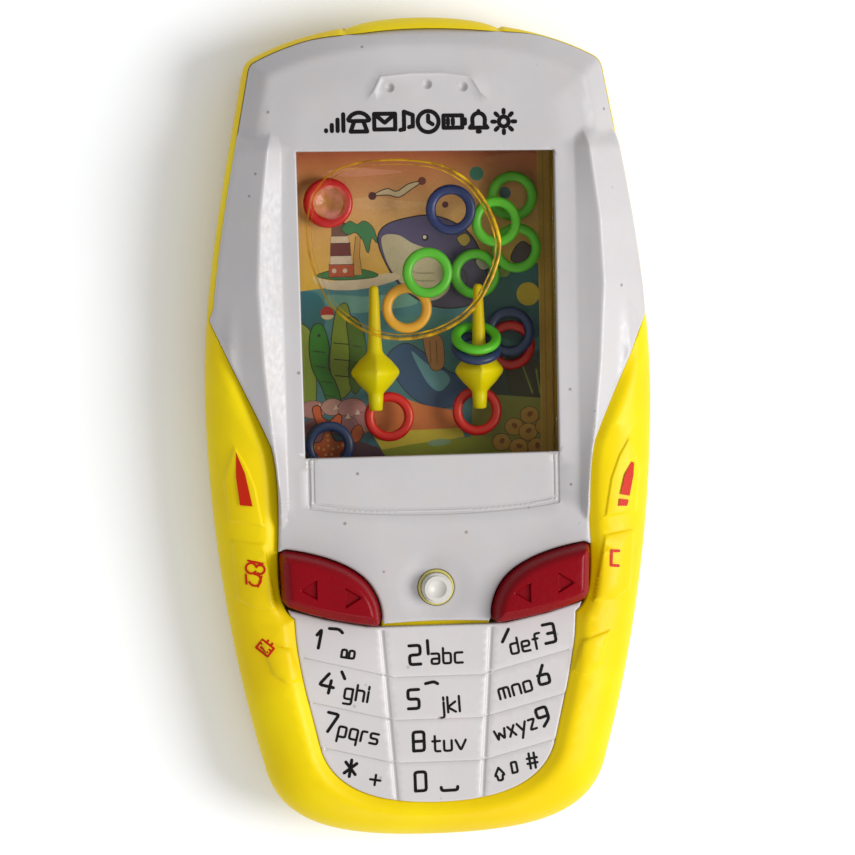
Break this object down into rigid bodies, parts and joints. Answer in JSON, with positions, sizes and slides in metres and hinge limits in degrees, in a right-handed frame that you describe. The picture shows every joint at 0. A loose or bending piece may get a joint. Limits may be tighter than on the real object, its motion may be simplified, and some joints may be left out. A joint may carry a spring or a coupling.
{
  "type": "toy water game phone",
  "caption": "Hand-held water ring-toss game in the shape of a mobile phone, with a sealed tank, pegs, loose rings and two pump buttons.",
  "frame": {"origin": "middle of the flat back, on the surface that the toy lies on", "axes": "+X to the phone's right, +Y to its top edge, +Z out of the screen"},
  "size_m": [0.0808, 0.148, 0.022],
  "materials": {
    "yellow_plastic": "glossy moulded yellow plastic",
    "white_plastic": "satin moulded white plastic",
    "red_plastic": "glossy moulded deep red plastic",
    "tank_clear": "clear amber moulded polystyrene",
    "peg_yellow": "translucent yellow plastic",
    "nozzle_white": "plain white plastic",
    "bellows_rubber": "soft black rubber",
    "plug_rubber": "soft white rubber",
    "printed_card": "printed card",
    "screw_steel": "zinc-plated steel",
    "ring_green": "bright green plastic",
    "ring_navy": "navy plastic",
    "ring_red": "red plastic",
    "ring_orange": "orange plastic"
  },
  "bodies": {
    "case": {"rear_cover": "yellow_plastic", "front_frame": "yellow_plastic", "front_cover": "white_plastic", "keypad_plate": "white_plastic", "tank_body": "tank_clear", "tank_window": "tank_clear", "pump_deck": "tank_clear", "picture_card": "printed_card", "left_peg": "peg_yellow", "right_peg": "peg_yellow", "jet_nozzles": "nozzle_white", "left_bellows": "bellows_rubber", "right_bellows": "bellows_rubber", "left_bellows_clamp": "yellow_plastic", "right_bellows_clamp": "yellow_plastic", "case_screws": "screw_steel"},
    "left_button": {"left_button": "red_plastic"},
    "right_button": {"right_button": "red_plastic"},
    "filler_plug": {"filler_plug": "plug_rubber"},
    "navy_ring_upper": {"navy_ring_upper": "ring_navy"},
    "green_ring_corner": {"green_ring_corner": "ring_green"},
    "green_ring_upper": {"green_ring_upper": "ring_green"},
    "green_ring_right": {"green_ring_right": "ring_green"},
    "green_ring_middle": {"green_ring_middle": "ring_green"},
    "green_ring_peg_tip": {"green_ring_peg_tip": "ring_green"},
    "orange_ring": {"orange_ring": "ring_orange"},
    "navy_ring_right": {"navy_ring_right": "ring_navy"},
    "red_ring_right": {"red_ring_right": "ring_red"},
    "green_ring_on_peg": {"green_ring_on_peg": "ring_green"},
    "navy_ring_on_peg": {"navy_ring_on_peg": "ring_navy"},
    "red_ring_left": {"red_ring_left": "ring_red"},
    "red_ring_middle": {"red_ring_middle": "ring_red"},
    "navy_ring_lower": {"navy_ring_lower": "ring_navy"},
    "red_ring_upper": {"red_ring_upper": "ring_red"}
  },
  "joints": [
    {"name": "left_button_press", "type": "slide", "parent": "case", "child": "left_button", "axis": [0, 0, -1], "range_m": [0, 0.003], "stiffness_N_per_m": 500, "springref_m": -0.001, "deforming": ["left_bellows"]},
    {"name": "right_button_press", "type": "slide", "parent": "case", "child": "right_button", "axis": [0, 0, -1], "range_m": [0, 0.003], "stiffness_N_per_m": 500, "springref_m": -0.001, "deforming": ["right_bellows"]},
    {"name": "filler_plug_pull", "type": "slide", "parent": "case", "child": "filler_plug", "axis": [0, 0, 1], "range_m": [0, 0.012]},
    {"name": "navy_ring_upper_drift", "type": "slide", "parent": "case", "child": "navy_ring_upper", "axis": [-1, 0, 0], "range_m": [0, 0.01]},
    {"name": "green_ring_corner_drift", "type": "slide", "parent": "case", "child": "green_ring_corner", "axis": [-1, 0, 0], "range_m": [0, 0.01]},
    {"name": "green_ring_upper_drift", "type": "slide", "parent": "case", "child": "green_ring_upper", "axis": [0, 1, 0], "range_m": [0, 0.006]},
    {"name": "green_ring_right_drift", "type": "slide", "parent": "case", "child": "green_ring_right", "axis": [0, 1, 0], "range_m": [0, 0.008]},
    {"name": "green_ring_middle_drift", "type": "slide", "parent": "case", "child": "green_ring_middle", "axis": [0, 1, 0], "range_m": [0, 0.012]},
    {"name": "green_ring_peg_tip_drift", "type": "slide", "parent": "case", "child": "green_ring_peg_tip", "axis": [-1, 0, 0], "range_m": [0, 0.008]},
    {"name": "orange_ring_drift", "type": "slide", "parent": "case", "child": "orange_ring", "axis": [0, 1, 0], "range_m": [0, 0.008]},
    {"name": "navy_ring_right_drift", "type": "slide", "parent": "case", "child": "navy_ring_right", "axis": [0, 1, 0], "range_m": [0, 0.005]},
    {"name": "red_ring_right_drift", "type": "slide", "parent": "case", "child": "red_ring_right", "axis": [0, -1, 0], "range_m": [0, 0.008]},
    {"name": "green_ring_on_peg_drift", "type": "slide", "parent": "case", "child": "green_ring_on_peg", "axis": [0, 1, 0], "range_m": [0, 0.012]},
    {"name": "navy_ring_on_peg_drift", "type": "slide", "parent": "case", "child": "navy_ring_on_peg", "axis": [0, 1, 0], "range_m": [0, 0.012]},
    {"name": "red_ring_left_drift", "type": "slide", "parent": "case", "child": "red_ring_left", "axis": [0, -1, 0], "range_m": [0, 0.006]},
    {"name": "red_ring_middle_drift", "type": "slide", "parent": "case", "child": "red_ring_middle", "axis": [0, -1, 0], "range_m": [0, 0.006]},
    {"name": "navy_ring_lower_drift", "type": "slide", "parent": "case", "child": "navy_ring_lower", "axis": [0, 1, 0], "range_m": [0, 0.012]},
    {"name": "red_ring_upper_drift", "type": "slide", "parent": "case", "child": "red_ring_upper", "axis": [0, -1, 0], "range_m": [0, 0.01]}
  ],
  "couplings": [
    {"joint": "navy_ring_on_peg_drift", "follows": "green_ring_on_peg_drift", "ratio": 1}
  ]
}
